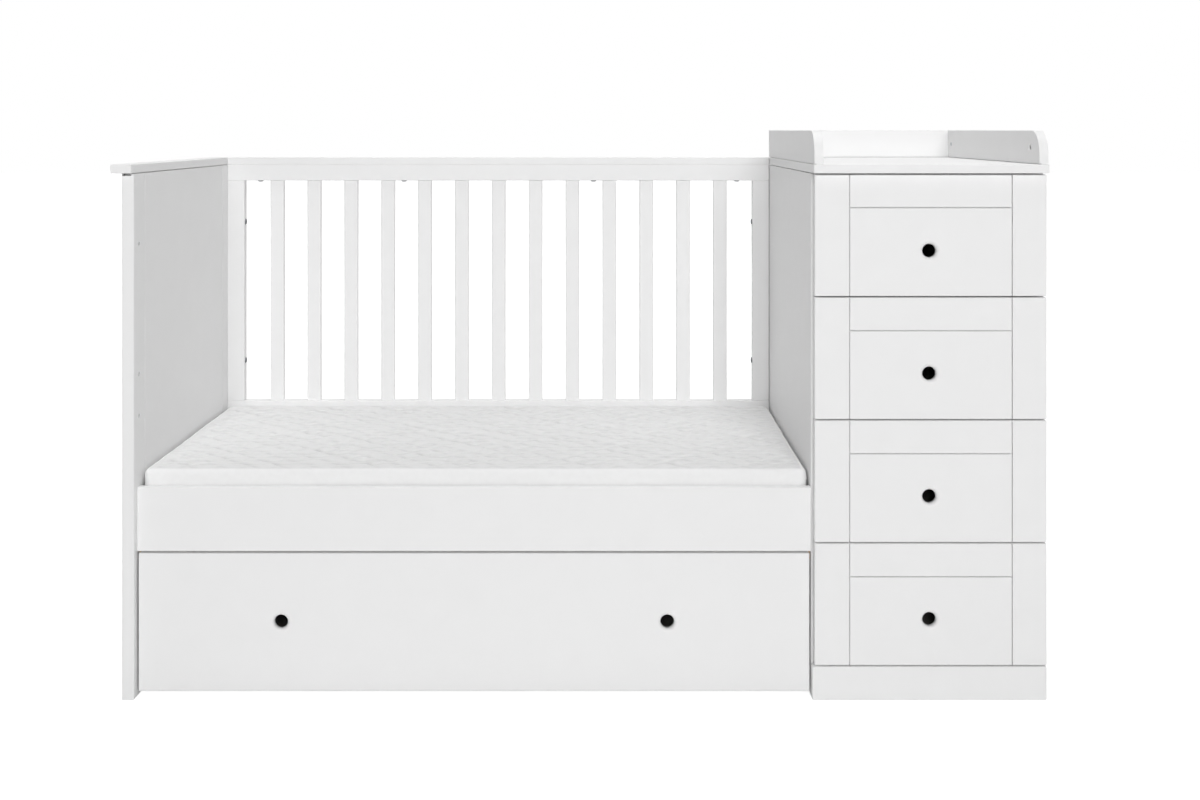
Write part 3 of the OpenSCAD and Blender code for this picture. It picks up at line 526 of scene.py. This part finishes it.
# The castor wheels: moulded in dark grey nylon, with a fine spark-eroded texture.
nylon, tree = new_material("moulded grey nylon")
place = add_node(tree, "ShaderNodeTexCoord").outputs["Object"]
grit_mm, grit_height = 0.7, 0.00008
grit = add_node(tree, "ShaderNodeTexNoise", {"Vector": place, "Scale": 1000 / grit_mm, "Detail": 2.0})
tint = add_node(tree, "ShaderNodeMix", {"Factor": grit.outputs["Fac"], "A": paint("#3A3B3D"),
                "B": paint("#454648")}, data_type="RGBA")
bump = add_node(tree, "ShaderNodeBump", {"Height": grit.outputs["Fac"], "Strength": 0.4,
                "Distance": grit_height})
shader = add_node(tree, "ShaderNodeBsdfPrincipled",
                  {"Base Color": tint.outputs["Result"], "Roughness": 0.5, "IOR": 1.53,
                   "Normal": bump.outputs["Normal"]})
add_node(tree, "ShaderNodeOutputMaterial", {"Surface": shader.outputs[0]})
dress(nylon, *[f"castor_wheel_{corner}" for corner in corners])

# The screws that hold the rear frame: steel with button heads and a hexagon socket, turned and black zinc
# plated. They go through the stiles into the panels, and up through the top rail into the cap.
black_zinc, tree = new_material("black zinc plated steel")
place = add_node(tree, "ShaderNodeTexCoord").outputs["Object"]
bloom_mm = 3.0
bloom = add_node(tree, "ShaderNodeTexNoise", {"Vector": place, "Scale": 1000 / bloom_mm, "Detail": 3.0})
tint = add_node(tree, "ShaderNodeMix", {"Factor": bloom.outputs["Fac"], "A": paint("#828487"),
                "B": paint("#6C6E71")}, data_type="RGBA")
rough = add_node(tree, "ShaderNodeMapRange", {"Value": bloom.outputs["Fac"], "To Min": 0.30,
                 "To Max": 0.45})
shader = add_node(tree, "ShaderNodeBsdfPrincipled", {"Base Color": tint.outputs["Result"],
                  "Metallic": 1.0, "Roughness": rough.outputs["Result"]})
add_node(tree, "ShaderNodeOutputMaterial", {"Surface": shader.outputs[0]})


def spun(profile, foot, way, sides=48):
    """Points and faces of a profile spun round the line from foot along way. Each row of the profile is a
    distance along the line, a radius and 1 where the ring is a hexagon of that half width, not a circle."""
    distance, radius, hexagon = np.array(profile).T
    turn = np.arange(sides) * 2 * math.pi / sides
    facet = np.cos((turn % (math.pi / 3)) - math.pi / 6)
    reach = radius[:, None] / np.where(hexagon[:, None] > 0, facet, 1.0)
    way = np.array(way, float)
    side = np.cross(way, (0.0, 1.0, 0.0)) if abs(way[1]) < 0.9 else np.cross(way, (1.0, 0.0, 0.0))
    side /= np.linalg.norm(side)
    other = np.cross(way, side)
    ring = np.cos(turn)[:, None] * side + np.sin(turn)[:, None] * other
    points = np.array(foot) + distance[:, None, None] * way + reach[..., None] * ring
    index = np.arange(len(profile) * sides).reshape(-1, sides)
    beside = np.roll(index, -1, axis=1)
    quads = np.stack([index[:-1], beside[:-1], beside[1:], index[1:]], -1).reshape(-1, 4)
    faces = quads.tolist() + [index[0, ::-1].tolist(), index[-1].tolist()]
    return points.reshape(-1, 3), faces


def join_parts(name, parts, material, body, sharp_degrees=35):
    """One piece from a list of (points, faces), smooth where its faces meet at less than this angle."""
    points, faces, count = [], [], 0
    for part_points, part_faces in parts:
        points.append(part_points)
        faces += [[i + count for i in face] for face in part_faces]
        count += len(part_points)
    piece = new_piece(name, np.concatenate(points), faces)
    piece.data.polygons.foreach_set("use_smooth", np.ones(len(piece.data.polygons), bool))
    piece.data.set_sharp_from_angle(angle=math.radians(sharp_degrees))
    piece.data.materials.append(material)
    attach(piece, body)
    return piece


# How far a screw bites into what it holds, and the radius of its head.
mm = 0.001
bite, head_radius = 10 * mm, 6.5 * mm


def button_screw(length):
    """Profile of a screw of this length under its head: point, shank, flat underside, dome and socket."""
    shank, head, tall, socket = 2.0 * mm, head_radius, 2.6 * mm, 2.5 * mm
    return [(0, 0.6 * mm, 0), (2.5 * mm, shank, 0), (length, shank, 0), (length, head, 0),
            (length + 0.7 * mm, head, 0), (length + 1.6 * mm, head * 0.93, 0),
            (length + 2.3 * mm, head * 0.75, 0), (length + tall, head * 0.5, 0),
            (length + tall, socket * 1.06, 1), (length + tall - 0.15 * mm, socket, 1),
            (length + 0.8 * mm, socket, 1)]


stile_low, stile_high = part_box("rear_left_stile")
far_stile_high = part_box("rear_right_stile")[1]
screws_low, screws_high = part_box("stile_screws")
screw_y = (stile_low[1] + stile_high[1]) / 2
stile_screw_length = stile_high[0] - stile_low[0] + bite
screw_heights = (screws_low[2] + head_radius, screws_high[2] - head_radius)
stile_screws = join_parts(
    "stile_screws_turned",
    [spun(button_screw(stile_screw_length), (stile_low[0] - bite, screw_y, z), (1, 0, 0))
     for z in screw_heights] +
    [spun(button_screw(stile_screw_length), (far_stile_high[0] + bite, screw_y, z), (-1, 0, 0))
     for z in screw_heights], black_zinc, "bed_and_chest")
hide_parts("stile_screws")

rail_low, rail_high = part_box("rear_top_rail")
cap_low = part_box("cap_screws")[0]
# How far the outer and the inner pair of screws stand in from the rail's ends.
outer_in = cap_low[0] + head_radius - rail_low[0]
inner_in = 393 * mm
cap_screw_length = rail_high[2] - rail_low[2] + bite
cap_screws = join_parts(
    "cap_screws_turned",
    [spun(button_screw(cap_screw_length), (x, screw_y, rail_high[2] + bite), (0, 0, -1))
     for x in (rail_low[0] + outer_in, rail_low[0] + inner_in,
               rail_high[0] - inner_in, rail_high[0] - outer_in)], black_zinc, "bed_and_chest")
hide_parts("cap_screws")

# The fittings in the tray's rim are hidden under flat turned covers, zinc plated, with a hexagon socket.
cover_profile = [(0, 3.9 * mm, 0), (0.5 * mm, 4.0 * mm, 0), (0.9 * mm, 3.7 * mm, 0), (1.0 * mm, 3.2 * mm, 0),
                 (1.0 * mm, 1.8 * mm, 1), (0.95 * mm, 1.7 * mm, 1), (0.2 * mm, 1.7 * mm, 1)]
fittings_low, fittings_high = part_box("tray_fittings")
fitting_y, fitting_z = (fittings_low[1] + fittings_high[1]) / 2, (fittings_low[2] + fittings_high[2]) / 2
tray_fittings = join_parts(
    "tray_fittings_turned",
    [spun(cover_profile, (x, fitting_y, fitting_z), (way, 0, 0))
     for x, way in ((fittings_low[0], 1), (fittings_high[0], -1))], zinc, "bed_and_chest")
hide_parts("tray_fittings")
